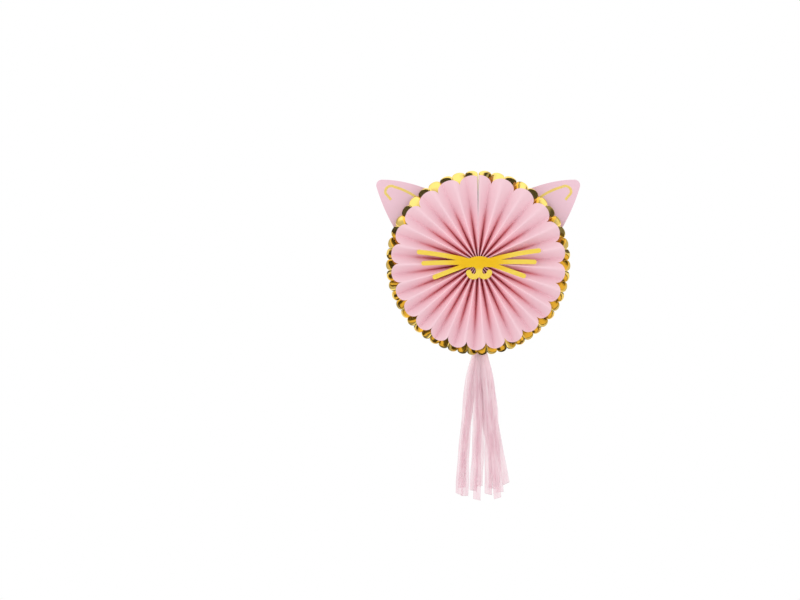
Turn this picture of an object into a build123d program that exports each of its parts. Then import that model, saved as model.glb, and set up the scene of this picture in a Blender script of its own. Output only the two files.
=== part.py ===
from build123d import *
from math import cos, hypot, pi, radians, sin, sqrt
import os

# A hanging paper rosette with a cat's face. Two pleated fans, a gold foil one behind a pink
# one, stand on a round backing card. A gold card with the nose, the mouth and the whiskers
# is stuck on the front, two card ears and a tissue tassel are stuck on the back.
# Millimetres, +Z up. The face looks towards -Y and the wall is the plane y = 0.

# Folded strips
pleat_count = 25
paper_thickness = 0.25
hub_radius = 5.0
trim_allowance = 3.0
crease_spans = 5
crease_crowding = 1.6

# Pink fan. Its spreads are how far the folds stray from even turns, in degrees: as one wave
# around the fan, which opens the upper pleats, as two waves, and as a lean to one side
pink_tip_radius = 118.0
pink_scallop_depth = 12.0
pink_rim_fold = 8.2
pink_scallop_pitch = 1.0276
pink_first_cusp = 0.565
pink_spreads = (6.37, 1.19, 1.5)
pink_slit_width = 2.4

# Gold fan
gold_tip_radius = 125.0
gold_scallop_depth = 5.0
gold_rim_fold = 6.0
gold_scallop_pitch = 0.5
gold_first_cusp = 0.0
gold_spreads = (8.47, 1.19, 0.35)
gold_slit_width = 1.7

# Joint of each strip, at the top, glued below and open above
slit_foot_radius = 62.0
flap_setback = 0.1

# Backing card, foam pads and tapes
backing_radius = 30.0
backing_thickness = 1.0
centre_pad_radius = 15.0
centre_pad_thickness = 1.0
nose_pad_radius = 7.5
nose_pad_thickness = 1.0
tape_thickness = 0.3
seat_clearance = 0.02

# Nose, mouth and whiskers, right half, cut from one card
face_card_thickness = 0.4
face_shift = 1.1
face_turn = 0.7
whisker_width = 6.3
upper_whisker = ((20.0, 4.4), (47.0, 10.4), (80.4, 15.2))
middle_whisker = ((20.0, 0.2), (50.0, 0.6), (74.4, 0.0))
lower_whisker = ((17.0, -2.8), (40.0, -11.2), (59.8, -18.6))
dome_height = 8.7
shoulder = (12.8, 5.9)
root_top = (26.0, 8.6)
root_bottom = (24.0, -6.9)
chin = (7.0, -5.9)
neck_width = 8.8
mouth_width = 7.4
mouth_radius = 6.7
mouth_spread = 7.3
mouth_drop = 12.1
mouth_sweep = 170.0

# Ears, the right one, cut from card with a stamped foil line
ear_thickness = 0.4
ear_upper_edge = ((50.0, 93.0), (85.0, 105.9), (107.5, 111.2), (129.5, 113.1))
ear_tip = (136.6, 110.4)
ear_outer_edge = ((138.2, 103.5), (127.2, 73.5), (103.0, 30.0))
ear_root = (55.0, 56.0)
ear_fold = 2.5
ear_tape_width = 22.0
ear_tape_height = 9.0
ear_tape_radius = 86.0
foil_rise = ((80.0, 86.0), (97.5, 97.2), (114.0, 103.4))
foil_turn = ((114.0, 103.4), (124.4, 101.6), (125.8, 94.6))
foil_end = (118.4, 85.8)
foil_width = 3.4
foil_thickness = 0.1

# Tassel, one bundle of tissue, held behind the gold fan and cut into strips below its neck
tassel_centre = 2.4
tassel_hold = 49.0
tassel_top_width = 20.0
tassel_top_thickness = 1.4
tassel_tape_height = 12.0
tassel_neck_width = 22.0
tassel_neck_thickness = 2.6
tassel_neck_overlap = 9.0
strip_width = 10.0
strip_thickness = 0.25
strip_spread_drops = (25.0, 81.0, 131.0)
strip_spacings = (0.5, 0.6, 0.7, 0.8)
neck_gather = 0.45

# One strip a line, from the front to the back: how far its middle stands to the side of the
# tassel's centre at the three drops above and at its cut end, and how far the end is below
# the gold fan's rim
strips = (
    (-3.4, -2.4, -3.4, -4.4, 196.0),
    (-13.9, -19.8, -24.4, -28.4, 189.0),
    (5.6, 13.1, 19.1, 23.4, 194.0),
    (-5.9, -5.1, -6.3, -8.9, 184.0),
    (12.1, 19.4, 22.1, 26.6, 186.0),
    (-11.4, -15.4, -19.0, -20.9, 191.0),
    (1.6, 8.6, 10.8, 11.9, 189.0),
    (-0.4, 0.6, 0.1, -0.9, 178.0),
    (13.1, 18.1, 27.1, 35.9, 175.0),
    (-8.4, -15.9, -21.9, -24.9, 180.0),
    (3.6, 5.6, 15.1, 16.6, 181.0),
)


def fold_angle(pleat, spreads):
    """Angle of a fold from the top, clockwise, in degrees; whole numbers are front folds."""
    once, twice, lean = spreads
    turn = 2 * pi * pleat / pleat_count
    even = 360 * pleat / pleat_count
    return even + once * sin(turn) + twice * sin(2 * turn) + lean * (1 - cos(turn))


def fold_spacing(pleat, spreads):
    """Angle from a front fold to the back fold beside it, in radians."""
    return radians(fold_angle(pleat + 0.25, spreads) - fold_angle(pleat - 0.25, spreads))


def panel_width(tip_radius, rim_fold, spreads):
    """Width of a panel between two folds, from its slope at the rim of the widest pleat."""
    return hypot(tip_radius * fold_spacing(0, spreads), rim_fold)


def fold_reach(radius, pleat, width, spreads):
    """Half the depth of the pleats at a radius; the panels keep their width all along."""
    return sqrt(width ** 2 - (radius * fold_spacing(pleat, spreads)) ** 2) / 2


def crease_radii(tip_radius):
    """Radii of the points along a crease, closer together towards the hub."""
    reach = tip_radius + trim_allowance - hub_radius
    return [hub_radius + reach * (i / crease_spans) ** crease_crowding for i in range(crease_spans + 1)]


def polar(radius, pleat, spreads):
    """Point on the face at a radius and a pleat."""
    angle = radians(fold_angle(pleat, spreads))
    return (radius * sin(angle), radius * cos(angle))


def mirrored(points):
    """The same points on the left half."""
    return [(-x, z) for x, z in points]


pink_panel = panel_width(pink_tip_radius, pink_rim_fold, pink_spreads)
gold_panel = panel_width(gold_tip_radius, gold_rim_fold, gold_spreads)
gold_middle = -backing_thickness - gold_panel / 2
pink_middle = gold_middle - gold_panel / 2 - centre_pad_thickness - pink_panel / 2
nose_pad_back = pink_middle - pink_panel / 2
face_card_back = nose_pad_back - nose_pad_thickness


def fold_plane(pleat, middle, spreads):
    """Plane of a fold: its local x runs out along the crease and its local y to the front."""
    angle = radians(fold_angle(pleat, spreads))
    outward = Vector(sin(angle), 0, cos(angle))
    around = Vector(cos(angle), 0, -sin(angle))
    return Plane(origin=(0, middle, 0), x_dir=outward, z_dir=around)


def scallop_radius(phase, tip_radius, depth):
    """Radius of the rim from one cusp, phase 0, over the tip to the next cusp, phase 1."""
    return tip_radius - depth + depth * sqrt(1 - (2 * phase - 1) ** 2)


def folded_ring(radii, width, middle, spreads):
    """Closed ring of folded paper: flat facets between points on the creases of two folds."""
    folds = []
    for step in range(2 * pleat_count):
        pleat = step / 2
        plane = fold_plane(pleat, middle, spreads)
        fronts = []
        backs = []
        for r in radii:
            reach = fold_reach(r, pleat, width, spreads)
            across = paper_thickness * width / (r * fold_spacing(pleat, spreads))
            front = reach if step % 2 == 0 else across - reach
            fronts.append(plane.from_local_coords((r, front, 0)))
            backs.append(plane.from_local_coords((r, front - across, 0)))
        folds.append((fronts, backs))

    facets = []
    for near, far in zip(folds, folds[1:] + folds[:1]):
        for a, b in zip(near, far):
            for i in range(crease_spans):
                facets.append((a[i], a[i + 1], b[i]))
                facets.append((b[i], a[i + 1], b[i + 1]))
        for end in (0, -1):
            facets.append((near[0][end], far[0][end], far[1][end], near[1][end]))
    return Solid(Shell([Face(Wire.make_polygon(corners)) for corners in facets]))


def rosette(tip_radius, depth, rim_fold, pitch, first_cusp, spreads, slit_width, middle):
    """One strip folded to and fro, closed to a ring, glued at the top and cut to scallops."""
    width = panel_width(tip_radius, rim_fold, spreads)
    radii = crease_radii(tip_radius)
    outer_radius = radii[-1]

    # Cusps and tips of the scallops, with a part of one on each side of the slit
    root_radius = tip_radius - depth
    whole = int((pleat_count - first_cusp) / pitch + 1e-6)
    cusps = [first_cusp + pitch * i for i in range(whole + 1)]
    scallops = []
    for start, end in zip(cusps, cusps[1:]):
        tip = polar(tip_radius, (start + end) / 2, spreads)
        scallops.append((polar(root_radius, start, spreads), tip, polar(root_radius, end, spreads)))
    if first_cusp > 0:
        left = pleat_count - cusps[-1]
        left_tip = polar(scallop_radius(left / pitch / 2, tip_radius, depth), cusps[-1] + left / 2, spreads)
        left_end = polar(scallop_radius(left / pitch, tip_radius, depth), pleat_count, spreads)
        scallops.append((polar(root_radius, cusps[-1], spreads), left_tip, left_end))
        right = first_cusp / pitch
        right_tip = polar(scallop_radius(1 - right / 2, tip_radius, depth), first_cusp / 2, spreads)
        right_end = polar(scallop_radius(1 - right, tip_radius, depth), 0, spreads)
        scallops.append((right_end, right_tip, polar(root_radius, first_cusp, spreads)))

    # End flaps of the strip, glued back to back up to the foot of the slit
    open_half = slit_width / 2 * (outer_radius - slit_foot_radius) / (tip_radius - slit_foot_radius)
    with BuildPart() as flaps:
        with BuildSketch(Plane.XZ.offset(-middle)):
            for side in (-1, 1):
                with BuildLine():
                    Polyline(
                        (0, hub_radius),
                        (side * paper_thickness, hub_radius),
                        (side * paper_thickness, slit_foot_radius),
                        (side * (open_half + paper_thickness), outer_radius),
                        (side * open_half, outer_radius),
                        (0, slit_foot_radius),
                        close=True,
                    )
                make_face()
        extrude(amount=width, both=True)
        with BuildSketch(Plane.YZ):
            with BuildLine():
                front = [(middle - fold_reach(r, 0, width, spreads) + flap_setback, r) for r in radii]
                back = [(middle + fold_reach(r, 0, width, spreads), r) for r in reversed(radii)]
                Polyline(*front, *back, close=True)
            make_face()
        extrude(amount=slit_width + paper_thickness, both=True, mode=Mode.INTERSECT)

    with BuildPart() as fan:
        add(folded_ring(radii, width, middle, spreads))
        add(flaps.part)

        # Open part of the joint, a narrow wedge that light shows through
        with BuildSketch(Plane.XZ.offset(-middle)):
            with BuildLine():
                corners = ((0, slit_foot_radius), (open_half, outer_radius), (-open_half, outer_radius))
                Polyline(*corners, close=True)
            make_face()
        extrude(amount=width, both=True, mode=Mode.SUBTRACT)

        # Scalloped rim: straight sides from cusp to cusp, and a round segment on each
        with BuildSketch(Plane.XZ.offset(-middle)):
            with BuildLine():
                for start, tip, end in scallops:
                    Line(start, end)
                if first_cusp > 0:
                    Line(left_end, right_end)
            make_face()
            for start, tip, end in scallops:
                with BuildLine():
                    ThreePointArc(start, tip, end)
                    Line(end, start)
                make_face()
        extrude(amount=width, both=True, mode=Mode.INTERSECT)
    return fan.part


os.makedirs("parts", exist_ok=True)

# Backing card, the round card that closes the hub and lies against the wall
with BuildPart() as backing_card:
    with BuildSketch(Plane.XZ):
        Circle(backing_radius)
    extrude(amount=backing_thickness)
backing_card.part.label = "backing_card"
export_step(backing_card.part, "parts/backing_card.step")

# Gold foil fan
with BuildPart() as gold_rosette:
    add(rosette(gold_tip_radius, gold_scallop_depth, gold_rim_fold, gold_scallop_pitch,
                gold_first_cusp, gold_spreads, gold_slit_width, gold_middle))
gold_rosette.part.label = "gold_rosette"
export_step(gold_rosette.part, "parts/gold_rosette.step")

# Foam pad between the two fans
with BuildPart() as centre_pad:
    with BuildSketch(Plane.XZ.offset(-(gold_middle - gold_panel / 2))):
        Circle(centre_pad_radius)
    extrude(amount=centre_pad_thickness)
centre_pad.part.label = "centre_pad"
export_step(centre_pad.part, "parts/centre_pad.step")

# Pink paper fan
with BuildPart() as pink_rosette:
    add(rosette(pink_tip_radius, pink_scallop_depth, pink_rim_fold, pink_scallop_pitch,
                pink_first_cusp, pink_spreads, pink_slit_width, pink_middle))
pink_rosette.part.label = "pink_rosette"
export_step(pink_rosette.part, "parts/pink_rosette.step")

# Foam pad behind the nose
with BuildPart() as nose_pad:
    with BuildSketch(Plane.XZ.offset(-nose_pad_back)):
        Circle(nose_pad_radius)
    extrude(amount=nose_pad_thickness)
nose_pad.part.label = "nose_pad"
export_step(nose_pad.part, "parts/nose_pad.step")

# Nose, mouth and whiskers, one card
face_right = (cos(radians(face_turn)), 0, sin(radians(face_turn)))
face_plane = Plane(origin=(face_shift, face_card_back, 0), x_dir=face_right, z_dir=(0, -1, 0))
with BuildPart() as face_card:
    with BuildSketch(face_plane):
        for route in (upper_whisker, middle_whisker, lower_whisker):
            for points in (route, mirrored(route)):
                with BuildLine(mode=Mode.PRIVATE) as whisker:
                    ThreePointArc(*points)
                SlotArc(whisker.edges()[0], whisker_width)
        with BuildLine():
            ThreePointArc(mirrored([shoulder])[0], (0, dome_height), shoulder)
            neck = [(neck_width / 2, -mouth_drop + mouth_radius / 2), (neck_width / 2, -mouth_drop)]
            half = [shoulder, root_top, root_bottom, chin, *neck]
            Polyline(*half, *reversed(mirrored(half)))
        make_face()
        for side in (-1, 1):
            start = 180 if side > 0 else 0
            with BuildLine(mode=Mode.PRIVATE) as hook:
                CenterArc((side * mouth_spread, -mouth_drop), mouth_radius, start, side * mouth_sweep)
            SlotArc(hook.edges()[0], mouth_width)
    extrude(amount=face_card_thickness)
face_card.part.label = "face_card"
export_step(face_card.part, "parts/face_card.step")

# Ears, card on the back folds of the gold fan, with tape between and foil on the front
seat_radius = min(ear_tape_radius - ear_tape_height / 2, hypot(*ear_root))
for name, side, fold in (("right", 1, ear_fold), ("left", -1, pleat_count - ear_fold)):
    ear_reach = fold_reach(seat_radius, fold, gold_panel, gold_spreads)
    ear_tape_front = gold_middle + ear_reach + seat_clearance
    ear_front = ear_tape_front + tape_thickness
    with BuildPart() as ear:
        with BuildSketch(Plane.XZ.offset(-ear_front)):
            with BuildLine():
                upper = [(side * x, z) for x, z in ear_upper_edge]
                outer = [(side * x, z) for x, z in ear_outer_edge]
                Spline(*upper)
                ThreePointArc(upper[-1], (side * ear_tip[0], ear_tip[1]), outer[0])
                ThreePointArc(*outer)
                ThreePointArc(outer[-1], (side * ear_root[0], ear_root[1]), upper[0])
            make_face()
        extrude(amount=-ear_thickness)
    ear.part.label = "ear_" + name
    export_step(ear.part, "parts/ear_" + name + ".step")

    with BuildPart() as ear_foil:
        with BuildSketch(Plane.XZ.offset(-ear_front)):
            with BuildLine():
                ThreePointArc(*[(side * x, z) for x, z in foil_rise])
                ThreePointArc(*[(side * x, z) for x, z in foil_turn])
                Line((side * foil_turn[-1][0], foil_turn[-1][1]), (side * foil_end[0], foil_end[1]))
            trace(line_width=foil_width)
        extrude(amount=foil_thickness)
    ear_foil.part.label = "ear_foil_" + name
    export_step(ear_foil.part, "parts/ear_foil_" + name + ".step")

    with BuildPart() as ear_tape:
        with BuildSketch(Plane.XZ.offset(-ear_tape_front)):
            tape_centre = polar(ear_tape_radius, fold, gold_spreads)
            with Locations(Location(tape_centre, -fold_angle(fold, gold_spreads))):
                Rectangle(ear_tape_width, ear_tape_height)
        extrude(amount=-tape_thickness)
    ear_tape.part.label = "ear_tape_" + name
    export_step(ear_tape.part, "parts/ear_tape_" + name + ".step")

# Tassel, its neck flat behind the gold fan, its strips hanging below
tassel_top_drop = gold_tip_radius - tassel_hold
tassel_reach = fold_reach(tassel_top_drop, pleat_count / 2, gold_panel, gold_spreads)
tassel_seat = gold_middle + tassel_reach + seat_clearance
tassel_back = tassel_seat + tape_thickness + tassel_top_thickness
with BuildPart() as tassel:
    neck_stations = (
        (tassel_top_drop, tassel_top_width, tassel_top_thickness),
        (tassel_top_drop + tassel_tape_height, tassel_top_width, tassel_top_thickness),
        (gold_tip_radius, tassel_neck_width, tassel_neck_thickness),
        (gold_tip_radius + tassel_neck_overlap, tassel_neck_width, tassel_neck_thickness),
    )
    for drop, width, thickness in neck_stations:
        with BuildSketch(Plane.XY.offset(-drop)):
            with Locations((tassel_centre, tassel_back - thickness / 2)):
                Rectangle(width, thickness)
    loft(ruled=True)
    gathered_spacing = (tassel_neck_thickness - strip_thickness) / len(strips)
    for layer, (*sides, cut) in enumerate(strips):
        drops = (-tassel_neck_overlap, *strip_spread_drops, cut)
        sides = (sides[0] * neck_gather, *sides)
        spacings = (gathered_spacing, *strip_spacings)
        for drop, side, spacing in zip(drops, sides, spacings):
            strip_back = tassel_back - spacing * (len(strips) - 0.5 - layer)
            with BuildSketch(Plane.XY.offset(-gold_tip_radius - drop)):
                with Locations((tassel_centre + side, strip_back)):
                    Rectangle(strip_width, strip_thickness)
        loft(ruled=True)
tassel.part.label = "tassel"
export_step(tassel.part, "parts/tassel.step")

# Tape that holds the tassel's neck to the back folds
with BuildPart() as tassel_tape:
    with BuildSketch(Plane.XZ.offset(-tassel_seat)):
        with Locations((tassel_centre, -tassel_top_drop - tassel_tape_height / 2)):
            Rectangle(tassel_top_width, tassel_tape_height)
    extrude(amount=-tape_thickness)
tassel_tape.part.label = "tassel_tape"
export_step(tassel_tape.part, "parts/tassel_tape.step")
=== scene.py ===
# %% [markdown]
# A hanging paper rosette with a cat's face. A gold foil fan stands behind a pink paper one, a
# gold card with nose, mouth and whiskers is stuck on the front, two card ears and a tissue
# tassel are stuck on the back. The packed model is loaded first, as the fixed frame. Its flat
# cards stay, because a flat card is already right there. The folded and the hanging paper is
# made again here as finer surfaces in the same places, because real paper has softer and less
# even folds than the construction needs.

import bpy
import numpy as np
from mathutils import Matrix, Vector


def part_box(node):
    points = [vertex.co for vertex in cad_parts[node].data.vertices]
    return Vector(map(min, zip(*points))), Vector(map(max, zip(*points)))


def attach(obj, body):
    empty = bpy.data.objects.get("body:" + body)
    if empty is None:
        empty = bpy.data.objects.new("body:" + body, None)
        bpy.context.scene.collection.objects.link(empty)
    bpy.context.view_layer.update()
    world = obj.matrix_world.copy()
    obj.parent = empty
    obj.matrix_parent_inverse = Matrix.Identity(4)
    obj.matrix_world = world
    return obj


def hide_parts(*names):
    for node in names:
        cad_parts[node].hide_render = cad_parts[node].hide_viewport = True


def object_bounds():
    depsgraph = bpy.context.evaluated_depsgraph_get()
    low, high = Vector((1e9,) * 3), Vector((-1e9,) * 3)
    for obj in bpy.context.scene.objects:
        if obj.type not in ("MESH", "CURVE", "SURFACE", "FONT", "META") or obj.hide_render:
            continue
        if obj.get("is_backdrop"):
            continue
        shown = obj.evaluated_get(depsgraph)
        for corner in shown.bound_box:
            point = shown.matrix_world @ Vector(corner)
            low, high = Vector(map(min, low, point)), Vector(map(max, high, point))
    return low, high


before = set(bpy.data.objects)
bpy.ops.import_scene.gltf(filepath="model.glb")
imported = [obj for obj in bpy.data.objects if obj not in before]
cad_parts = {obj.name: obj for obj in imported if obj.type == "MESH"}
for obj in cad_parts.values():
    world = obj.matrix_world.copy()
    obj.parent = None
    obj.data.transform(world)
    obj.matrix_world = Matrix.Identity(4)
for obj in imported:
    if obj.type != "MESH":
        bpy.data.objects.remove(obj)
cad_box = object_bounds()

print("nodes:", sorted(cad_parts))

# %% [markdown]
# Blender counts in metres. Paper sizes are easier to read in millimetres, so they are written
# as a number times MM. The sizes of the folded strips repeat the construction, and a print sets
# the two side by side. Pitch and first say where the scallops of the rim meet, counted in
# pleats. Spreads say how far the folds stray from even turns: as one wave round the fan, as two
# waves, and as a lean to one side. The slit is the open end of the strip's joint.

# %% Sizes of the folded strips
MM = 0.001
PLEATS = 25
PAPER = 0.25 * MM
HUB_RADIUS = 5.0 * MM
SLIT_FOOT = 62.0 * MM
PINK = {
    "tip": 118.0 * MM, "depth": 12.0 * MM, "rim_fold": 8.2 * MM, "pitch": 1.0276, "first": 0.565,
    "spreads": np.radians([6.37, 1.19, 1.5]), "slit": 2.4 * MM,
}
GOLD = {
    "tip": 125.0 * MM, "depth": 5.0 * MM, "rim_fold": 6.0 * MM, "pitch": 0.5, "first": 0.0,
    "spreads": np.radians([8.47, 1.19, 0.35]), "slit": 0.9 * MM,
}

for node, fan in (("pink_rosette", PINK), ("gold_rosette", GOLD)):
    low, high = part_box(node)
    fan["middle"] = (low.y + high.y) / 2
    print(node, "reaches", round(high.x / MM, 1), "mm,",
          "its scallop tips", round(fan["tip"] / MM, 1), "mm")

# %% [markdown]
# A real fan is one strip of paper, folded to and fro and closed to a ring. It could be modelled
# by bending a zigzag, but then the panels stretch where the pleats open wider. Here it is one
# surface of two parameters instead: how far along the strip a point is, counted in pleats, and
# how far out from the hub. Whole numbers along are front folds, halves are back folds. Every
# panel keeps one width, as paper does, and this width gives the depth of each pleat.

# %% Geometry of the folds
HALF_PLEAT = 0.5


def fold_angle(along, fan):
    """Angle from the top, clockwise: even turns, plus slow waves that open the upper pleats."""
    once, twice, lean = fan["spreads"]
    turn = 2 * np.pi * along / PLEATS
    return turn + once * np.sin(turn) + twice * np.sin(2 * turn) + lean * (1 - np.cos(turn))


def fold_spacing(along, fan):
    """Angle from a front fold to the back fold beside it: the turn of half a pleat."""
    return fold_angle(along + HALF_PLEAT / 2, fan) - fold_angle(along - HALF_PLEAT / 2, fan)


def panel_width(fan):
    """Width of every panel: from its slope at the rim of the widest pleat, by Pythagoras."""
    return np.hypot(fan["tip"] * fold_spacing(0.0, fan), fan["rim_fold"])


def fold_reach(radius, along, fan):
    """Half the depth of the pleats: the third side of a triangle whose long side, the panel's
    width, is the same all along the fold and whose base grows with the radius."""
    return np.sqrt(panel_width(fan) ** 2 - (radius * fold_spacing(along, fan)) ** 2) / 2


def scallop(along, fan):
    """Rim radius: half an ellipse over each scallop, from cusp to cusp."""
    phase = np.mod((along - fan["first"]) / fan["pitch"], 1.0)
    return fan["tip"] - fan["depth"] + fan["depth"] * np.sqrt(1 - (2 * phase - 1) ** 2)


for name, fan in (("pink", PINK), ("gold", GOLD)):
    print(name, "panels are", round(float(panel_width(fan)) / MM, 2), "mm wide")

# %% [markdown]
# A grid needs most of its lines where the shape turns. So the columns crowd at the folds, and
# at the cusps between scallops, where the rim is steep. The rows crowd towards the hub and once
# more in the band that carries the scallops. An even grid would need many more faces.

# %% Columns and rows of a fan
PER_PANEL = 5
PINK_PER_SCALLOP = 18
GOLD_PER_SCALLOP = 14
BESIDE_FOLD = (-0.035, -0.018, -0.007, 0.0, 0.007, 0.018, 0.035)
NARROWEST = 0.0015
RIM_BAND = 3.0 * MM
RIM_ROWS = 9
INNER_ROWS = 26
HUB_CROWDING = 1.25


def columns_of(fan, per_scallop):
    """Places along the strip, from flap to flap: evenly spread, beside the folds, and over each
    scallop by half a cosine wave, which crowds them at its cusps."""
    ends = (-HALF_PLEAT, PLEATS + HALF_PLEAT)
    even = np.linspace(*ends, (2 * PLEATS + 2) * PER_PANEL + 1)
    folds = np.arange(-1, 2 * PLEATS + 2) / 2
    beside = np.add.outer(folds, BESIDE_FOLD).ravel()
    swing = (1 - np.cos(np.linspace(0, np.pi, per_scallop + 1))) / 2
    cusps = fan["first"] + fan["pitch"] * np.arange(-1, int(PLEATS / fan["pitch"]) + 2)
    over = np.add.outer(cusps, fan["pitch"] * swing).ravel()
    over = over[(over > 0) & (over < PLEATS)]
    found = np.concatenate([even, beside, over])
    found = np.unique(np.round(found[(found >= ends[0]) & (found <= ends[1])], 4))
    return found[np.concatenate([[True], np.diff(found) > NARROWEST])]


def rows_of(along, fan):
    """Radius of each row and column: a power of even shares up to the rim band, then shares of
    the band by a quarter of a sine wave, which crowds them at the rim."""
    band = fan["tip"] - fan["depth"] - RIM_BAND
    share = (np.arange(INNER_ROWS) / INNER_ROWS) ** HUB_CROWDING
    inner = HUB_RADIUS + (band - HUB_RADIUS) * share
    rim = scallop(np.clip(along, 0, PLEATS), fan)
    outer = band + np.outer(np.sin(np.linspace(0, np.pi / 2, RIM_ROWS + 1)), rim - band)
    return np.concatenate([np.repeat(inner[:, None], len(along), 1), outer])


pink_columns = columns_of(PINK, PINK_PER_SCALLOP)
gold_columns = columns_of(GOLD, GOLD_PER_SCALLOP)
print("columns: pink", len(pink_columns), "gold", len(gold_columns))

# %% [markdown]
# Each panel between two folds is flat. A point that is turned evenly about the hub doesn't move
# evenly across a flat panel, so its share of the width comes from the tangent of its angle. The
# strip's two ends are flaps, which go straight back from the first and the last front fold and
# are glued to each other.

# %% Place on a panel
def place_on_panel(along, radius, fan):
    """Number of the panel, share of its width, the radius at which the straight line through
    the point, square to the panel's middle, meets the two folds, and those folds' places."""
    panel = np.clip(np.floor(2 * along), -1, 2 * PLEATS)
    near = np.clip(panel / 2, 0, PLEATS)
    far = np.clip((panel + 1) / 2, 0, PLEATS)
    on_face = (along >= 0) & (along <= PLEATS)
    start, end = fold_angle(near, fan), fold_angle(far, fan)
    half = np.where(on_face, (end - start) / 2, 1.0)
    off = fold_angle(np.clip(along, 0, PLEATS), fan) - (start + end) / 2
    # Open fault: at the last front fold, along = PLEATS, start and end are one fold and the share
    # is 0 / 0, so this column gets no depth. Counted to the flap, by along < PLEATS, it would
    share = np.where(on_face, 0.5 + 0.5 * np.tan(off) / np.tan(half), 2 * along - panel)
    crease = np.where(on_face, radius * np.cos(off) / np.cos(half), radius)
    return panel, share, crease, np.where(on_face, near, 0.0), np.where(on_face, far, 0.0)


panel, share, *_ = place_on_panel(np.array([0.1]), np.array([PINK["tip"]]), PINK)
print("a fifth of the way along panel", int(panel[0]), "is", round(float(share[0]), 3), "across it")

# %% [markdown]
# Paper doesn't fold to a knife's edge. A valley is pressed sharp, while a ridge bends softly,
# more so towards the rim, where nothing presses it. A bevel would round all the folds alike.
# Here the depth across a panel follows a straight ramp whose two ends are rounded, each by as
# much as its fold asks for.

# %% Rounded folds
FOLD_ROUNDING = 0.35 * MM
SHARPEST = 0.02
BLUNTEST_VALLEY = 0.3
BOTH_ROUNDINGS = 0.95


def between(share, first, second):
    """Goes from the first value to the second as the share goes from 0 to 1."""
    return first * (1 - share) + second * share


def eased(share, first, last):
    """Straight ramp from 0 to 1 whose two ends are parabolas, each as long as its rounding."""
    slope = 1 / (1 - (first + last) / 2)
    start = slope * share**2 / (2 * first)
    middle = slope * (share - first / 2)
    end = 1 - slope * (1 - share) ** 2 / (2 * last)
    return np.where(share < first, start, np.where(share > 1 - last, end, middle))


def ramp_of(along, radius, share, from_front, fan, soft):
    """Share of the way from one fold's depth to the next. Soft is a pair: the share of a panel
    by which a ridge's rounding is longer than a valley's at the rim, in the lower pleats and in
    the upper ones, with half a cosine wave between. It grows with the square of the radius."""
    spacing = fold_spacing(np.clip(along, 0, PLEATS), fan)
    valley = np.clip(FOLD_ROUNDING / (radius * spacing), SHARPEST, BLUNTEST_VALLEY)
    upper = (1 + np.cos(2 * np.pi * along / PLEATS)) / 2
    ridge = valley + between(upper, *soft) * (radius / fan["tip"]) ** 2
    ridge = np.clip(ridge, SHARPEST, BOTH_ROUNDINGS - valley)
    first = np.where(from_front, ridge, valley)
    last = np.where(from_front, valley, ridge)
    return eased(np.clip(share, 0, 1), first, last)


print("half way across a panel the ramp stands at", float(eased(0.5, 0.2, 0.2)))

# %% [markdown]
# Hand folding is never exact. Each fold gets a small shift of its own and each panel a small
# bow. Both come from a seeded draw, so that every rebuild gives the same fan. The punch that
# cut the scallops also pressed their rim back a little.

# %% The folded surface
CURL_BAND = 2.2 * MM
FLAP_SETBACK = 0.55 * PAPER


def folded_surface(fan, along, seed, bow, lean, curl, soft):
    """Points, and two marks for the material: how steep the pleats stand and how near to the
    valley a point is. Its depth goes by the ramp from one fold's depth to the next, plus the
    bow, a parabola across the panel, plus the curl, a parabola over the last of the rim. Its
    place across is the polar point, moved aside near the slit."""
    draw = np.random.default_rng(seed)
    shifts = draw.normal(0, lean, 2 * PLEATS + 4)
    bows = draw.normal(0, bow, 2 * PLEATS + 4)

    radius = rows_of(along, fan)
    along = np.repeat(along[None, :], len(radius), 0)
    panel, share, crease, near, far = place_on_panel(along, radius, fan)
    from_front = np.mod(panel, 2) == 0
    ramp = ramp_of(along, radius, share, from_front, fan, soft)
    grow = (radius / fan["tip"]) ** 2
    index = panel.astype(int) + 1
    reach_near = fold_reach(crease, near, fan) + shifts[index] * grow
    reach_far = fold_reach(crease, far, fan) + shifts[index + 1] * grow
    depth_near = np.where(from_front, -reach_near, reach_near)
    depth_far = np.where(from_front, reach_far, -reach_far)
    depth = depth_near + (depth_far - depth_near) * ramp
    depth = depth + bows[index] * grow * 4 * share * (1 - share)
    rim = scallop(np.clip(along, 0, PLEATS), fan)
    depth = depth + curl * np.clip(1 - (rim - radius) / CURL_BAND, 0, 1) ** 2

    opened = np.clip((radius - SLIT_FOOT) / (fan["tip"] - SLIT_FOOT), 0, 1)
    opened = opened * fan["slit"] / 2 + FLAP_SETBACK
    aside = opened * (np.clip(1 - 2 * along, 0, 1) - np.clip(1 - 2 * (PLEATS - along), 0, 1))
    aside = np.where(along < 0, opened, np.where(along > PLEATS, -opened, aside))
    on_strip = np.clip(along, 0, PLEATS)
    angle = fold_angle(on_strip, fan)
    points = np.stack(
        [radius * np.sin(angle) + aside, fan["middle"] + depth, radius * np.cos(angle)], -1)
    steep = 1 - (radius * fold_spacing(on_strip, fan) / panel_width(fan)) ** 2
    valley = np.where(from_front, ramp, 1 - ramp)
    marks = {"steep": np.sqrt(np.clip(steep, 0, 1)), "valley": np.clip(valley, 0, 1)}
    return points, radius, along, marks


print("the glued flaps lie", round(2 * FLAP_SETBACK / MM, 3), "mm apart, middle to middle")

# %% [markdown]
# A grid of points becomes a mesh in one go: neighbouring rows and columns give the quads. A UV
# map carries the two parameters of the surface, and the marks go along as attributes, so that a
# material can follow the shape. Solidify then gives the sheet its real thickness, half to each
# side, which is simpler and more even than a second grid behind the first.

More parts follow.
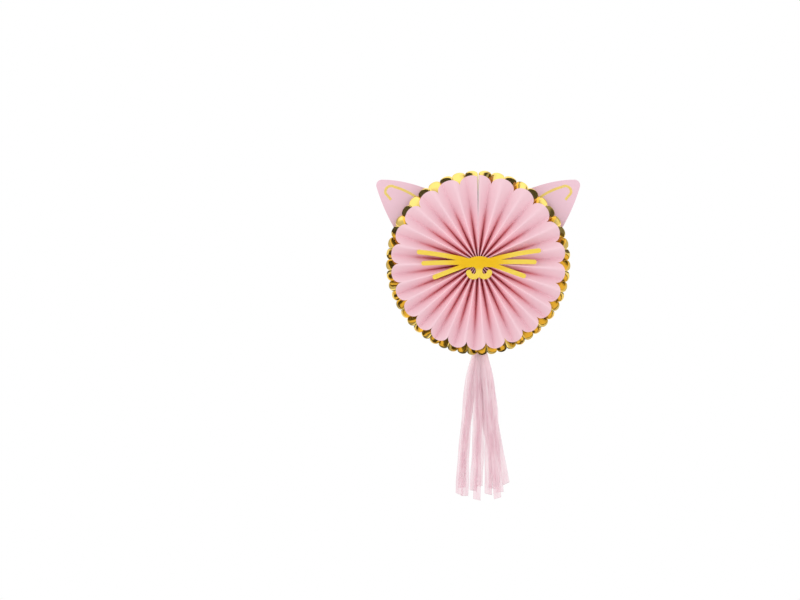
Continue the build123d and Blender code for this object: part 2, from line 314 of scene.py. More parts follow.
# %% Grid to mesh
def surface(name, points, across, along, wall, marks=None):
    """Mesh of a grid of points, with a UV map of its two parameters and a real wall."""
    rows, columns = points.shape[:2]
    corner = np.arange(rows * columns).reshape(rows, columns)
    quads = np.stack([corner[:-1, :-1], corner[:-1, 1:], corner[1:, 1:], corner[1:, :-1]], -1)
    quads = quads.reshape(-1, 4)
    mesh = bpy.data.meshes.new(name)
    mesh.from_pydata(points.reshape(-1, 3), [], quads)
    uv = np.stack([across, along], -1).reshape(-1, 2)[quads.ravel()]
    mesh.uv_layers.new(name="surface").data.foreach_set("uv", uv.astype(np.float32).ravel())
    for mark, values in (marks or {}).items():
        held = mesh.attributes.new(mark, "FLOAT", "POINT")
        held.data.foreach_set("value", values.astype(np.float32).ravel())
    mesh.polygons.foreach_set("use_smooth", np.ones(len(quads), bool))
    made = bpy.data.objects.new(name, mesh)
    bpy.context.scene.collection.objects.link(made)
    thick = made.modifiers.new("wall", "SOLIDIFY")
    thick.thickness = wall
    thick.offset = 0
    print(name, "has", 4 * len(quads), "triangles")
    return made


# %% [markdown]
# Both fans come from the same function. The pink paper is folded neatly and its upper ridges
# are softer. The foil card is stiff and springs back, so its folds stray more, its panels bow
# and its rim curls, and this is what makes each scallop mirror something else.

# %% Two fans
def make_fan(name, fan, columns, **hand):
    """One folded strip from its columns, with the marks for its material. Hand holds what the
    folding leaves: its seed, bow, lean, curl and softness."""
    points, radius, along, marks = folded_surface(fan, columns, **hand)
    across = (along + HALF_PLEAT) / (PLEATS + 2 * HALF_PLEAT)
    return surface(name, points, across, radius / fan["tip"], PAPER, marks)


pink_fan = make_fan("pink_fan", PINK, pink_columns, seed=4,
                    bow=0.2 * MM, lean=0.15 * MM, curl=0.05 * MM, soft=(0.2, 0.3))
gold_fan = make_fan("gold_fan", GOLD, gold_columns, seed=11,
                    bow=1.2 * MM, lean=0.6 * MM, curl=0.45 * MM, soft=(0.1, 0.1))
for fan_piece, node, slot in (
        (pink_fan, "pink_rosette", "pink_paper"), (gold_fan, "gold_rosette", "gold_foil")):
    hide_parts(node)
    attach(fan_piece, "root")

# %% [markdown]
# Between the fans, and behind the nose, sits a round sticky pad of foam. What it holds presses
# its two faces flat, so only its edge shows, and that swells a little in the middle. A cloth
# simulation would be too much for a pad one millimetre thick. A profile from face to face,
# carried round the axis, gives the same shape.

# %% Foam pads
PAD_SWELLING = 0.15 * MM
PAD_TURNS = 72
PAD_ROWS = 12


def pad_points(low, high):
    """Rings of points from face to face, and the radius of the edge. The radius is the edge's,
    less a parabola that is zero half way between the faces and the swelling at them. A ring of
    half the radius lies on each face."""
    share = (1 - np.cos(np.linspace(0, np.pi, PAD_ROWS + 1))) / 2
    edge = (high.x - low.x) / 2 - PAD_SWELLING * (2 * share - 1) ** 2
    radius = np.concatenate([[edge[0] / 2], edge, [edge[-1] / 2]])[:, None]
    depth = low.y + (high.y - low.y) * np.concatenate([[0.0], share, [1.0]])[:, None]
    turn = 2 * np.pi * np.arange(PAD_TURNS) / PAD_TURNS
    middle = (low + high) / 2
    x = middle.x + radius * np.sin(turn)
    z = middle.z + radius * np.cos(turn)
    return np.stack([x, np.broadcast_to(depth, x.shape), z], -1), float(edge.max())


def foam_pad(name, node):
    """Drum of the node's size: quads between the rings, and a point that closes each face."""
    low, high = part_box(node)
    points, edge = pad_points(low, high)
    rings = len(points)
    middle = (low + high) / 2
    poles = [[middle.x, low.y, middle.z], [middle.x, high.y, middle.z]]
    front_pole, back_pole = rings * PAD_TURNS, rings * PAD_TURNS + 1

    ring = np.arange(rings * PAD_TURNS).reshape(rings, PAD_TURNS)
    beside = np.roll(ring, -1, 1)
    quads = np.stack([ring[:-1], beside[:-1], beside[1:], ring[1:]], -1).reshape(-1, 4)
    front = np.stack([np.full(PAD_TURNS, front_pole), beside[0], ring[0]], -1)
    back = np.stack([np.full(PAD_TURNS, back_pole), ring[-1], beside[-1]], -1)
    mesh = bpy.data.meshes.new(name)
    mesh.from_pydata(np.concatenate([points.reshape(-1, 3), poles]), [],
                     [*quads.tolist(), *front.tolist(), *back.tolist()])
    smooth = np.zeros(len(mesh.polygons), bool)
    smooth[PAD_TURNS:(rings - 2) * PAD_TURNS] = True
    mesh.polygons.foreach_set("use_smooth", smooth)
    made = bpy.data.objects.new(name, mesh)
    bpy.context.scene.collection.objects.link(made)
    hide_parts(node)
    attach(made, "root")
    print(name, "is", round(2 * edge / MM, 1), "mm across")
    return made


pads = [foam_pad("foam_pad_centre", "centre_pad"), foam_pad("foam_pad_nose", "nose_pad")]

# %% [markdown]
# The tassel is a bundle of tissue paper, flat at the neck and cut to strips below. Each strip
# is a ribbon carried along a smooth route through a few stations: how far below the hub they
# lie, and how far to the side of the tassel's middle the strip's own middle is at each. The last
# number of a strip is where it is cut. These repeat the construction. Letting the strips fall by
# simulation would tangle them, and the real ones only hang.

# %% Routes of the strips
TASSEL_CENTRE = 2.4 * MM
TASSEL_HOLD = 76.0 * MM
STRIP_WIDTH = 10.0 * MM
STRIP_DROPS = (116.0, 150.0, 206.0, 256.0)
NECK_GATHER = 0.45
STRIPS = (
    (-3.4, -2.4, -3.4, -4.4, 321.0),
    (-13.9, -19.8, -24.4, -28.4, 314.0),
    (5.6, 13.1, 19.1, 23.4, 319.0),
    (-5.9, -5.1, -6.3, -8.9, 309.0),
    (12.1, 19.4, 22.1, 26.6, 311.0),
    (-11.4, -15.4, -19.0, -20.9, 316.0),
    (1.6, 8.6, 10.8, 11.9, 314.0),
    (-0.4, 0.6, 0.1, -0.9, 303.0),
    (13.1, 18.1, 27.1, 35.9, 300.0),
    (-8.4, -15.9, -21.9, -24.9, 305.0),
    (3.6, 5.6, 15.1, 16.6, 306.0),
)


def smooth_route(stations, values, at):
    """Cubic between stations whose slope at each is the slope between its neighbours."""
    slopes = np.gradient(values, stations)
    k = np.clip(np.searchsorted(stations, at) - 1, 0, len(stations) - 2)
    span = stations[k + 1] - stations[k]
    t = (at - stations[k]) / span
    return (
        (2 * t**3 - 3 * t**2 + 1) * values[k]
        + (t**3 - 2 * t**2 + t) * span * slopes[k]
        + (3 * t**2 - 2 * t**3) * values[k + 1]
        + (t**3 - t**2) * span * slopes[k + 1]
    )


def route_of(layer):
    """Stations and the strip's middle at each: gathered at the neck, then its own places."""
    *sides, cut = STRIPS[layer]
    gathered = sides[0] * NECK_GATHER
    stations = np.array([TASSEL_HOLD / MM, *STRIP_DROPS, cut]) * MM
    return stations, np.array([gathered, gathered, *sides]) * MM


stations, middles = route_of(0)
print("strips:", len(STRIPS), "the longest hangs", round(max(stations) / MM), "mm below the hub")

# %% [markdown]
# All the strips share one field of soft waves in depth, so that the layers lie on each other
# and never cross. The layers are pressed together at the neck and stand farther apart lower
# down. On top of it each strip has small waves of its own, an edge that wanders a little, as
# scissors do, and a slanted cut.

# %% Waves of the tissue
NECK_END = 118.0 * MM
WAVES_FULL = 90.0 * MM
STRIP_OPENS = 60.0 * MM
NECK_NARROWING = 0.66
SLANT = 2.2 * MM
LAYER_DROPS = np.array([*STRIP_DROPS, 320.0]) * MM
LAYER_SPACINGS = np.array([0.21, 0.5, 0.6, 0.7, 0.8]) * MM


def soft_waves(x, drop):
    """Depth of the hanging tissue: long waves across and down, growing from the neck, forwards."""
    grow = np.clip((drop - NECK_END) / WAVES_FULL, 0, 1)
    waves = np.sin(x / (6.2 * MM) + drop / (31.0 * MM))
    waves = waves + 0.6 * np.sin(x / (3.4 * MM) - drop / (47.0 * MM) + 1.3)
    return -grow * (1.9 + 1.1 * waves) * MM


def edge_wander(drop, phases):
    """Sideways stray of a strip: two sine waves down its length."""
    first = 0.35 * np.sin(drop / (19.0 * MM) + phases[0])
    return (first + 0.25 * np.sin(drop / (8.3 * MM) + phases[1])) * MM


def own_waves(across, drop, phases):
    """Depth of one strip within its layer: two small sine waves that run aslant over it."""
    first = 0.18 * np.sin(across * 2.4 + drop / (24.0 * MM) + phases[2])
    return (first + 0.1 * np.sin(across * 5 - drop / (11.0 * MM) + phases[3])) * MM


print("the waves are full", round((NECK_END + WAVES_FULL) / MM), "mm below the hub")

# %% [markdown]
# A strip is then a grid of rows down and columns across. A short smooth step, three squares
# less two cubes, opens it from the gathered neck to its full width.

# %% Tissue tassel
STRIP_ROWS = 120
STRIP_COLUMNS = 12
TISSUE_THICKNESS = 0.06 * MM


def strip_points(layer, draw):
    """Points of one ribbon: across, the route's middle plus a share of the width; in depth, the
    layer's place in the bundle, its own waves and the shared ones."""
    stations, middles = route_of(layer)
    slant = draw.uniform(-SLANT, SLANT)
    down = np.linspace(0, 1, STRIP_ROWS + 1)[:, None]
    across = np.linspace(-1, 1, STRIP_COLUMNS + 1)[None, :]
    drop = TASSEL_HOLD + (stations[-1] - TASSEL_HOLD + slant * across) * down
    middle = smooth_route(stations, middles, np.clip(drop, stations[0], stations[-1]))
    opening = np.clip((drop - NECK_END) / STRIP_OPENS, 0, 1)
    opening = opening * opening * (3 - 2 * opening)
    half = STRIP_WIDTH / 2 * between(opening, NECK_NARROWING, 1.0)
    phases = draw.uniform(0, 2 * np.pi, 4)
    x = TASSEL_CENTRE + middle + half * across + edge_wander(drop, phases) * opening
    low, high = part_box("tassel")
    spacing = np.interp(drop, LAYER_DROPS, LAYER_SPACINGS)
    y = high.y - spacing * (len(STRIPS) - 0.5 - layer)
    y = y + own_waves(across, drop, phases) * opening + soft_waves(x, drop)
    share = np.broadcast_to((across + 1) / 2, drop.shape)
    return np.stack([x, y, -drop], -1), share, np.broadcast_to(down, drop.shape)


draw = np.random.default_rng(21)
strips = []
for layer in range(len(STRIPS)):
    points, across, down = strip_points(layer, draw)
    # From the lowest row up, so that the faces look forwards
    strips.append(surface(f"tassel_strip_{layer + 1}", points[::-1],
                          (across + layer) / len(STRIPS), down[::-1], TISSUE_THICKNESS))
    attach(strips[-1], "root")
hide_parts("tassel")

# %% [markdown]
# Finishes are easier to read as arithmetic than as a list of nodes and links. The class below
# wraps one socket of a node tree, so that an expression on it adds the Math nodes it needs, and
# its node method adds any other node.

# %% Shader arithmetic
class Wire:
    """One socket of a node tree. Arithmetic on it adds Math nodes."""

    def __init__(self, tree, socket=None):
        self.tree = tree
        self.socket = socket

    def node(self, kind, settings=None, inputs=None, out=0):
        """Adds a node, makes its settings first, fills its sockets, and gives one output."""
        made = self.tree.nodes.new("ShaderNode" + kind)
        for name, value in (settings or {}).items():
            if name == "stops":
                ramp = made.color_ramp.elements
                while len(ramp) < len(value):
                    ramp.new(0.5)
                for element, (place, colour) in zip(ramp, value):
                    element.position = place
                    element.color = colour
            else:
                setattr(made, name, value)
        for name, value in (inputs or {}).items():
            if isinstance(value, Wire):
                self.tree.links.new(value.socket, made.inputs[name])
            else:
                made.inputs[name].default_value = value
        return Wire(self.tree, made.outputs[out])

    def parts(self):
        """The three parts of a vector, by one Separate XYZ node."""
        split = self.node("SeparateXYZ", None, {0: self}).socket.node
        return [Wire(self.tree, split.outputs[name]) for name in ("X", "Y", "Z")]

    def math(self, operation, first, second=0.0):
        return self.node("Math", {"operation": operation}, {0: first, 1: second})

    def __add__(self, other):
        return self.math("ADD", self, other)

    def __radd__(self, other):
        return self.math("ADD", other, self)

    def __sub__(self, other):
        return self.math("SUBTRACT", self, other)

    def __rsub__(self, other):
        return self.math("SUBTRACT", other, self)

    def __mul__(self, other):
        return self.math("MULTIPLY", self, other)

    def __rmul__(self, other):
        return self.math("MULTIPLY", other, self)

    def __pow__(self, other):
        return self.math("POWER", self, other)

    def at_least(self, other):
        return self.math("MAXIMUM", self, other)

    def sine(self):
        return self.math("SINE", self)

    def blend(self, first, second):
        """Colour that goes from the first to the second as this value goes from 0 to 1."""
        return self.node("Mix", {"data_type": "RGBA"}, {0: self, 6: first, 7: second}, out=2)


print("a Wire knows", [name for name in vars(Wire) if not name.startswith("__")])

# %% [markdown]
# Every finish here starts from the same few things: a colour written as a picture shows it, a
# fresh Principled shader, soft noise on the object's own coordinates, and a bump. Object
# coordinates are in metres, so the scale of a noise is one over the size of its grain.

# %% Helpers of the finishes
def rgb(red, green, blue):
    """Linear colour from the three display values, 0 to 255, that a picture would show."""
    shown = np.array([red, green, blue]) / 255
    linear = np.where(shown <= 0.04045, shown / 12.92, ((shown + 0.055) / 1.055) ** 2.4)
    return (*linear.tolist(), 1.0)


def new_finish(name):
    """A fresh material: its object coordinates, its shader, and the material itself."""
    made = bpy.data.materials.new(name)
    made.use_nodes = True
    tree = made.node_tree
    shader = tree.nodes["Principled BSDF"]
    place = Wire(tree).node("TexCoord", out="Object")
    return place, shader, made


def feed(shader, name, value):
    """Sets a socket of the shader, or links it."""
    if isinstance(value, Wire):
        value.tree.links.new(value.socket, shader.inputs[name])
    else:
        shader.inputs[name].default_value = value


def step_of(value, low, high, start=0.0, end=1.0):
    """Smooth step of a value from low to high, to between two results."""
    inputs = {"Value": value, "From Min": low, "From Max": high, "To Min": start, "To Max": end}
    return value.node("MapRange", {"interpolation_type": "SMOOTHSTEP"}, inputs)


def noise(place, scale, detail=2.0, roughness=0.5):
    """Soft random value about 0.5, whose grain is as large as one over the scale, in metres."""
    inputs = {"Vector": place, "Scale": scale, "Detail": detail, "Roughness": roughness}
    return place.node("TexNoise", None, inputs)


def bump(place, height, distance):
    """Normal of a surface raised by a height that is a share of the distance."""
    return place.node("Bump", None, {"Height": height, "Distance": distance}, out="Normal")


print("mid grey is", round(rgb(128, 128, 128)[0], 3), "in linear light")

# %% [markdown]
# The pink fan is coloured paper, dull all through. Light that goes from panel to panel takes up
# more of the dye each time, so the colour deepens to red where the pleats stand steep. A render
# stops after a few such bounces, and real paper also scatters light inside. So two marks on the
# mesh, how steep the pleats are and how near the valley a point is, paint that light and shade
# into the colour: painted bounce light, a brighter and pinker tint where the pleats stand steep,
# and painted shade, red near the valleys and deepest at the hub. The rest is what paper itself
# has: a faint cloudiness and fibres.

# %% Paper finishes
PAPER_PINK = rgb(237, 198, 207)
PAPER_PINK_PALE = rgb(240, 204, 212)
# Painted bounce light where the pleats stand steep, and painted shade near their valleys
PINK_PAINTED_BOUNCE_LIGHT = rgb(252, 206, 214)
PINK_PAINTED_VALLEY_SHADE = rgb(214, 64, 76)
PINK_PAINTED_DEEPEST_SHADE = rgb(255, 60, 56)
BOUNCE_LIGHT_RANGE = (0.80, 1.0)
VALLEY_SHADE_RANGE = (0.78, 0.97)
SHADE_LINE_RANGE = (0.93, 1.0)
SHADE_LINE_NARROWNESS = (5.5, 2.2)
DEEPEST_SHADE_RANGE = (0.95, 1.0)
PAPER_CLOUDS = 45
PAPER_FIBRES = 2600
FIBRE_HEIGHT = 0.06 * MM


def painted_light_and_shade_in_pleats(place, tint, steep, valley, deepest_shade):
    """Painted light and shade of the pleats. The tint goes to the painted bounce light where
    pleats stand steep. Near a valley it goes to the painted valley shade, by a power of the
    nearness that falls as the pleats get steeper, so that the shaded line of the fold widens
    towards the hub. There the painted shade goes to the deepest."""
    steepness = place.node("Attribute", {"attribute_name": "steep"}, out="Fac")
    nearness = place.node("Attribute", {"attribute_name": "valley"}, out="Fac")
    # Painted bounce light: the tint grows brighter and pinker where the pleats stand steep
    tint = step_of(steepness, *BOUNCE_LIGHT_RANGE).blend(tint, steep)
    # Painted shade: red near each valley, a line that widens towards the hub, deepest there
    line = nearness ** step_of(steepness, *SHADE_LINE_RANGE, *SHADE_LINE_NARROWNESS)
    painted_shade = step_of(steepness, *DEEPEST_SHADE_RANGE).blend(valley, deepest_shade)
    return (step_of(steepness, *VALLEY_SHADE_RANGE) * line).blend(tint, painted_shade)


def paper_finish(name, colour, pale, pleat_light_and_shade=None):
    """Matte paper: two nearby tints in soft clouds, a fibre bump, and painted light and shade in
    the pleats if given them.
    """
    place, shader, made = new_finish(name)
    fibres = noise(place, PAPER_FIBRES, 3, 0.65)
    tint = noise(place, PAPER_CLOUDS, 3).blend(colour, pale)
    if pleat_light_and_shade:
        tint = painted_light_and_shade_in_pleats(place, tint, *pleat_light_and_shade)
    feed(shader, "Base Color", tint)
    feed(shader, "Roughness", 0.72 + fibres * 0.16)
    feed(shader, "Specular IOR Level", 0.25)
    feed(shader, "Normal", bump(place, fibres, FIBRE_HEIGHT))
    print(name, "has", len(made.node_tree.nodes), "nodes")
    return made


# The pink paper, with painted light and shade in its pleats
pink_fan.data.materials.append(paper_finish(
    "pink_paper", PAPER_PINK, PAPER_PINK_PALE,
    (PINK_PAINTED_BOUNCE_LIGHT, PINK_PAINTED_VALLEY_SHADE, PINK_PAINTED_DEEPEST_SHADE)))

# %% [markdown]
# Foil card is thin metal on paper: nearly a mirror, with long faint ripples that the folding
# left and a fine scatter. A yellow plastic would have a white gloss, while a metal tints all
# that it mirrors, twice where light goes from panel to panel.

# %% Gold foil
FOIL_GOLD = (0.94, 0.70, 0.22, 1.0)
FOIL_GOLD_DEEP = (0.90, 0.62, 0.15, 1.0)
FOIL_CLOUDS = 60
FOIL_SCATTER = 900
FOIL_RIPPLES = 140
RIPPLE_HEIGHT = 0.6 * MM


def foil_finish(name, colour, deep):
    """Metal foil: two golds in clouds, roughness with fine scatter, ripples in the bump."""
    place, shader, made = new_finish(name)
    scatter = noise(place, FOIL_SCATTER, 3, 0.6)
    ripples = noise(place, FOIL_RIPPLES, 2)
    feed(shader, "Base Color", noise(place, FOIL_CLOUDS, 2).blend(colour, deep))
    feed(shader, "Metallic", 0.98)
    feed(shader, "Roughness", 0.04 + scatter * 0.05)
    feed(shader, "Normal", bump(place, ripples * 0.18 + scatter * 0.04, RIPPLE_HEIGHT))
    print(name, "has", len(made.node_tree.nodes), "nodes")
    return made


gold_fan.data.materials.append(foil_finish("gold_foil", FOIL_GOLD, FOIL_GOLD_DEEP))

# %% [markdown]
# The face and the ears' lines are satin gold card: part metal, part varnish. The whiskers bend
# towards the light, and so does the mouth, so they are paler than the nose. That bend is too
# small to model, and painted light, a paler tint to the sides and below, stands for it.

# %% Satin gold
FACE_GOLD = rgb(251, 205, 0)
FACE_GOLD_DEEP = rgb(251, 195, 0)
FACE_GOLD_PAINTED_LIGHT = rgb(255, 222, 84)
EAR_GOLD = rgb(255, 228, 134)
EAR_GOLD_DEEP = rgb(252, 217, 108)
PAINTED_LIGHT_BESIDE = (18.0 * MM, 50.0 * MM)
PAINTED_LIGHT_BELOW = (6.0 * MM, 12.0 * MM)
SATIN_CLOUDS = 55
SATIN_GRAIN = 1800
SATIN_DENTS = 120
GRAIN_HEIGHT = 0.12 * MM


def satin_finish(name, colour, deep, pale=None):
    """Satin gold card: two golds in clouds, a fine grain in roughness and bump. The painted
    light, a pale tint, comes in with the square of the distance to the side, and below."""
    place, shader, made = new_finish(name)
    grain = noise(place, SATIN_GRAIN, 3, 0.6)
    tint = noise(place, SATIN_CLOUDS, 3).blend(colour, deep)
    if pale:
        # Painted light: paler towards the whisker tips at the sides and the mouth below
        beside, _, height = place.parts()
        lit = step_of(beside * beside, PAINTED_LIGHT_BESIDE[0] ** 2, PAINTED_LIGHT_BESIDE[1] ** 2)
        lit = lit.at_least(step_of(height * -1.0, *PAINTED_LIGHT_BELOW))
        tint = lit.blend(tint, pale)
    feed(shader, "Base Color", tint)
    feed(shader, "Metallic", 0.3)
    feed(shader, "Roughness", 0.36 + grain * 0.14)
    feed(shader, "Normal", bump(place, grain * 0.3 + noise(place, SATIN_DENTS), GRAIN_HEIGHT))
    print(name, "has", len(made.node_tree.nodes), "nodes")
    return made


def dress(node, finish):
    """Gives a node of the frame its finish."""
    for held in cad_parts[node].material_slots:
        held.material = finish


dress("face_card", satin_finish("face_gold", FACE_GOLD, FACE_GOLD_DEEP, FACE_GOLD_PAINTED_LIGHT))
ear_foil = satin_finish("ear_foil", EAR_GOLD, EAR_GOLD_DEEP)

# %% [markdown]
# The ears are pink card, the back is closed by grey board, and double-sided tape holds the ears
# and the tassel. All three are plain paper to the eye, so they take the paper's finish in their
# own tints, without the deepening of the pleats.

# %% Cards and tape
ear_card = paper_finish("ear_card", rgb(233, 194, 206), rgb(237, 201, 213))
tape = paper_finish("tape", rgb(236, 234, 226), rgb(244, 243, 238))
board = paper_finish("backing_card", rgb(214, 206, 194), rgb(226, 219, 209))
for side in ("right", "left"):
    dress("ear_" + side, ear_card)
    dress("ear_foil_" + side, ear_foil)
    dress("ear_tape_" + side, tape)
dress("tassel_tape", tape)
dress("backing_card", board)

# %% [markdown]
# Foam is a mass of small cells, cut open at the edge. A noise would look like stone, while a
# Voronoi pattern has such cells: their middles lie deeper, and are a little darker, because
# less light comes out of a pit.

# %% Foam
FOAM_PIT = rgb(226, 225, 221)
FOAM_WALL = rgb(246, 246, 244)
CELLS = 1500.0
PIT_DEPTH = 0.3 * MM


def foam_finish():
    """White foam: pits on a Voronoi pattern, in the colour and in the bump."""
    place, shader, made = new_finish("foam_pad")
    cells = place.node("TexVoronoi", None, {"Vector": place, "Scale": CELLS}, out="Distance")
    feed(shader, "Base Color", cells.blend(FOAM_PIT, FOAM_WALL))
    feed(shader, "Roughness", 0.85)
    feed(shader, "Normal", bump(place, cells, PIT_DEPTH))
    return made


foam = foam_finish()
for pad in pads:
    pad.data.materials.append(foam)
print("cells of foam are about", round(1 / CELLS / MM, 2), "mm wide")

# %% [markdown]
# Tissue lets light and the wall behind show through. One layer is pale, and where strips lie
# over each other the pink deepens. Glass-like transmission would bend the light, so plain
# see-through layers, by Alpha, are nearer to it. The neck is painted paler, a painted light,
# because it lies flat and catches the light. Crumples run down the strips, so the noise is
# stretched in that direction.

# %% Tissue
TISSUE_PINK = rgb(235, 192, 204)
TISSUE_PALE = rgb(244, 213, 221)
TISSUE_NECK_PAINTED_LIGHT = rgb(255, 224, 232)
NECK_LIGHT_HEIGHTS = (-170.0 * MM, -125.0 * MM)
LENGTHWISE = (1.0, 1.0, 0.12)
TISSUE_CRUMPLES = 420
TISSUE_STREAKS = 260
STREAK_RANGE = (0.36, 0.64)
CRUMPLE_HEIGHT = 0.7 * MM


def tissue_finish():
    """Thin tissue: two tints in streaks, painted light as a paler tint at the neck, see-through by
    a cloudy share, crumples in the bump.
    """
    place, shader, made = new_finish("tissue")
    stretched = place.node("Mapping", None, {"Vector": place, "Scale": LENGTHWISE})
    crumple = noise(stretched, TISSUE_CRUMPLES, 3, 0.6)
    streaks = step_of(noise(stretched, TISSUE_STREAKS, 2), *STREAK_RANGE)
    height = place.parts()[2]
    tint = streaks.blend(TISSUE_PINK, TISSUE_PALE)
    # Painted light: the flat neck is paler
    tint = step_of(height, *NECK_LIGHT_HEIGHTS).blend(tint, TISSUE_NECK_PAINTED_LIGHT)
    feed(shader, "Base Color", tint)
    feed(shader, "Roughness", 0.8)
    feed(shader, "Specular IOR Level", 0.2)
    feed(shader, "Alpha", 0.28 + crumple * 0.16)
    feed(shader, "Normal", bump(place, crumple, CRUMPLE_HEIGHT))
    print("tissue has", len(made.node_tree.nodes), "nodes")
    return made


tissue = tissue_finish()
for strip in strips:
    strip.data.materials.append(tissue)

# %% [markdown]
# The studio is plain: an even bright room for the paper, and pure white behind the object for
# the camera. Foil is a mirror and only looks like metal when it has something to reflect. So
# glossy rays see the same white backdrop behind the object, and in front of it the bright
# ceiling, the dark lower room, the dark and bright stripes of window and curtain and the paler
# sides of a real studio. Panels and cards would do this too, but would need to be large, and a
# few sums on the direction of a ray do the same. Light Path tells the rays apart.

# %% World
ROOM_LEVEL = 0.97
HEIGHTS = (
    (0.0, 0.10), (0.45, 0.05), (0.49, 0.06), (0.53, 1.1),
    (0.62, 1.4), (0.90, 1.3), (0.96, 0.4), (1.0, 0.35),
)
STRIPES_ACROSS = 9.0
STRIPES_UP = -6.0
STRIPE_EDGES = (-0.5, 0.7)
FRONT_DARK = 0.06
FRONT_BRIGHT = 0.92
FRONT_BRIGHTER_RIGHT = 0.2
SIDE_LEVEL = 0.36
SIDE_BRIGHTER_RIGHT = 0.26
SIDE_BRIGHTER_UP = 0.28
DARKEST = 0.04
FRONT_BEGINS = (0.80, 0.92)
SIDES_END = (0.04, 0.2)
BACKDROP_BEGINS = (0.15, 0.4)


def studio_level(direction):
    """Brightness that the foil sees in a direction. In front it is a sine of the way across and
    up, cut to stripes by a smooth step. Round that it goes by height, from straight down at 0
    to straight up at 1, and where a ray leaves nearly in the plane of the fans, by a straight
    sum. Behind the object it is white."""
    right, back, up = direction.parts()
    stops = [(place, (level, level, level, 1.0)) for place, level in HEIGHTS]
    by_height = direction.node("ValToRGB", {"stops": stops}, {0: up * 0.5 + 0.5})
    stripes = (right * STRIPES_ACROSS + up * STRIPES_UP).sine()
    front = step_of(stripes, *STRIPE_EDGES, FRONT_DARK, FRONT_BRIGHT)
    front = front + right * FRONT_BRIGHTER_RIGHT
    side = SIDE_LEVEL + right * SIDE_BRIGHTER_RIGHT + up * SIDE_BRIGHTER_UP
    around = between(step_of(back * back, *SIDES_END), side, by_height)
    before = between(step_of(back * -1.0, *FRONT_BEGINS), around, front).at_least(DARKEST)
    return between(step_of(back, *BACKDROP_BEGINS), before, 1.0)


world = bpy.data.worlds.new("studio")
bpy.context.scene.world = world
world.use_nodes = True
world.cycles.sampling_method = "NONE"
start = Wire(world.node_tree)
seen_in_foil = studio_level(start.node("TexCoord", out="Generated"))
is_camera, is_glossy, is_through = (
    start.node("LightPath", out=name)
    for name in ("Is Camera Ray", "Is Glossy Ray", "Is Transmission Ray"))
is_seen = is_camera + is_through
room = is_glossy * seen_in_foil + (1 - is_glossy) * ROOM_LEVEL
background = world.node_tree.nodes["Background"]
background.inputs["Color"].default_value = (1.0, 1.0, 1.0, 1.0)
feed(background, "Strength", is_seen + (1 - is_seen) * room)
print("the studio has", len(world.node_tree.nodes), "nodes")

# %% [markdown]
# Two soft lamps of one size give the paper its gentle modelling, the stronger from the upper
# left. The foil doesn't mirror them: a square of light in each panel would look like a window.

# %% Lamps
LAMP_SIZE = 1.4
LAMP_TARGET = (0.0, 0.0, -0.05)
KEY_PLACE = (-1.9, -1.9, 0.9)
KEY_POWER = 8.2
FILL_PLACE = (1.5, -2.2, 0.2)
FILL_POWER = 5.2


def soft_lamp(name, place, power):
    """Square area lamp that faces the middle of the object."""
    data = bpy.data.lights.new(name, "AREA")
    data.size = LAMP_SIZE
    data.energy = power
    lamp = bpy.data.objects.new(name, data)
    bpy.context.scene.collection.objects.link(lamp)
    lamp.location = place
    away = lamp.location - type(lamp.location)(LAMP_TARGET)
    lamp.rotation_euler = away.to_track_quat("Z", "Y").to_euler()
    lamp.visible_glossy = False
    print(name, "stands", round(away.length, 2), "m away with", power, "W")


soft_lamp("key", KEY_PLACE, KEY_POWER)
soft_lamp("fill", FILL_PLACE, FILL_POWER)

# %% [markdown]
# A pale floor lies well below the object, which hangs. To the camera, to the foil and through
# the tissue it is white, like the backdrop, and fully so only farther out, so that a little of
# the shadow stays. For all other rays it is a plain pale floor that lights the object from
# below.

# %% Floor
FLOOR_DROP = 1.6
FLOOR_SIZE = 3.0
FLOOR_BACK = 1.1
FLOOR_WHITE_FROM = FLOOR_DROP
FLOOR_WHITE_FULL = 1.3 * FLOOR_DROP
FLOOR_WHITENESS = (0.85, 1.0)

corners = np.array([[-1, -1], [1, -1], [-1, 1], [1, 1]]) * FLOOR_SIZE / 2 + [0, FLOOR_BACK]
corners = np.column_stack([corners, np.full(4, -FLOOR_DROP)])
floor_mesh = bpy.data.meshes.new("floor")
floor_mesh.from_pydata(corners, [], [(0, 1, 3, 2)])
floor = bpy.data.objects.new("floor", floor_mesh)
bpy.context.scene.collection.objects.link(floor)

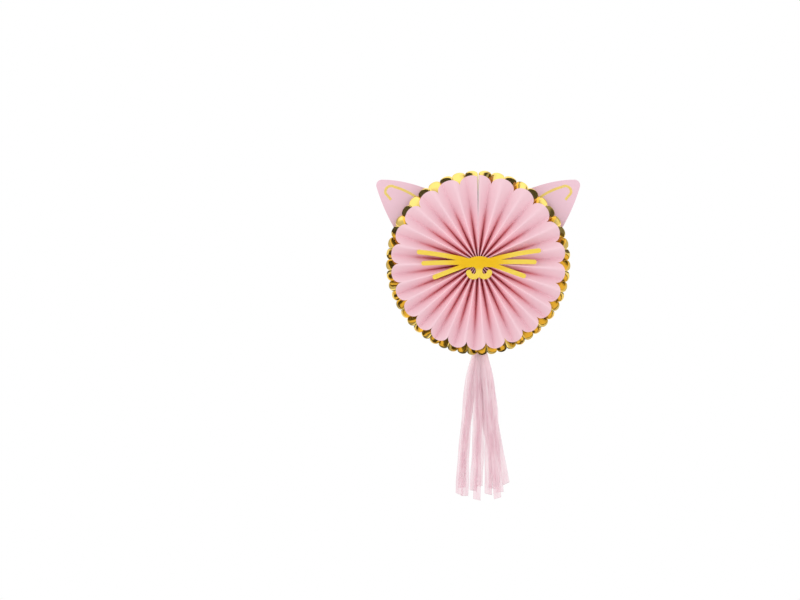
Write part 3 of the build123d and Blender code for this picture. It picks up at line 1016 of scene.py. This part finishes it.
place, shader, floor_finish = new_finish("floor")
feed(shader, "Base Color", (0.82, 0.82, 0.82, 1.0))
feed(shader, "Roughness", 0.9)
white = place.node("Emission", None, {"Color": (1.0, 1.0, 1.0, 1.0), "Strength": 1.0})
by_camera, by_foil, by_tissue = (
    place.node("LightPath", out=name)
    for name in ("Is Camera Ray", "Is Glossy Ray", "Is Transmission Ray"))
away = place.node("VectorMath", {"operation": "LENGTH"}, {0: place}, out="Value")
whitened = (by_camera + by_foil + by_tissue) * step_of(
    away, FLOOR_WHITE_FROM, FLOOR_WHITE_FULL, *FLOOR_WHITENESS)
painted = Wire(place.tree, shader.outputs[0])
mixed = place.node("MixShader", None, {0: whitened, 1: painted, 2: white})
output = place.tree.nodes["Material Output"]
place.tree.links.new(mixed.socket, output.inputs["Surface"])
floor_mesh.materials.append(floor_finish)
floor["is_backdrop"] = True
print("the floor lies", FLOOR_DROP, "m below the hub")

# %% [markdown]
# The camera looks straight along +Y from four metres, level with the middle of the picture. The
# object stands right of the picture's middle. Turning the camera to it would make the round
# fans oval, so the sensor is shifted instead.

# %% Camera
PHOTO_WIDTH = 800
PHOTO_HEIGHT = 600
OBJECT_PIXEL = (478.2, 263.0)
PIXEL = 1.3587 * MM
DISTANCE = 4.0
SENSOR_WIDTH = 36.0

camera_data = bpy.data.cameras.new("camera")
camera_data.sensor_width = SENSOR_WIDTH
camera_data.lens = SENSOR_WIDTH * DISTANCE / (PHOTO_WIDTH * PIXEL)
camera_data.shift_x = (PHOTO_WIDTH / 2 - OBJECT_PIXEL[0]) / PHOTO_WIDTH
camera = bpy.data.objects.new("camera", camera_data)
bpy.context.scene.collection.objects.link(camera)
camera.location = (0.0, -DISTANCE, (OBJECT_PIXEL[1] - PHOTO_HEIGHT / 2) * PIXEL)
camera.rotation_euler = (np.pi / 2, 0.0, 0.0)
bpy.context.scene.camera = camera
bpy.context.scene.view_settings.view_transform = "Standard"
print("lens", round(camera_data.lens, 1), "mm, shift", round(camera_data.shift_x, 4))

# %% [markdown]
# Last, the finished model is measured against the frame's own box, and both are written down.

# %% Measure and finish
shown_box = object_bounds()
for name, (low, high) in (("cad", cad_box), ("shown", shown_box)):
    print(name, [round(v / MM, 1) for v in low], [round(v / MM, 1) for v in high])
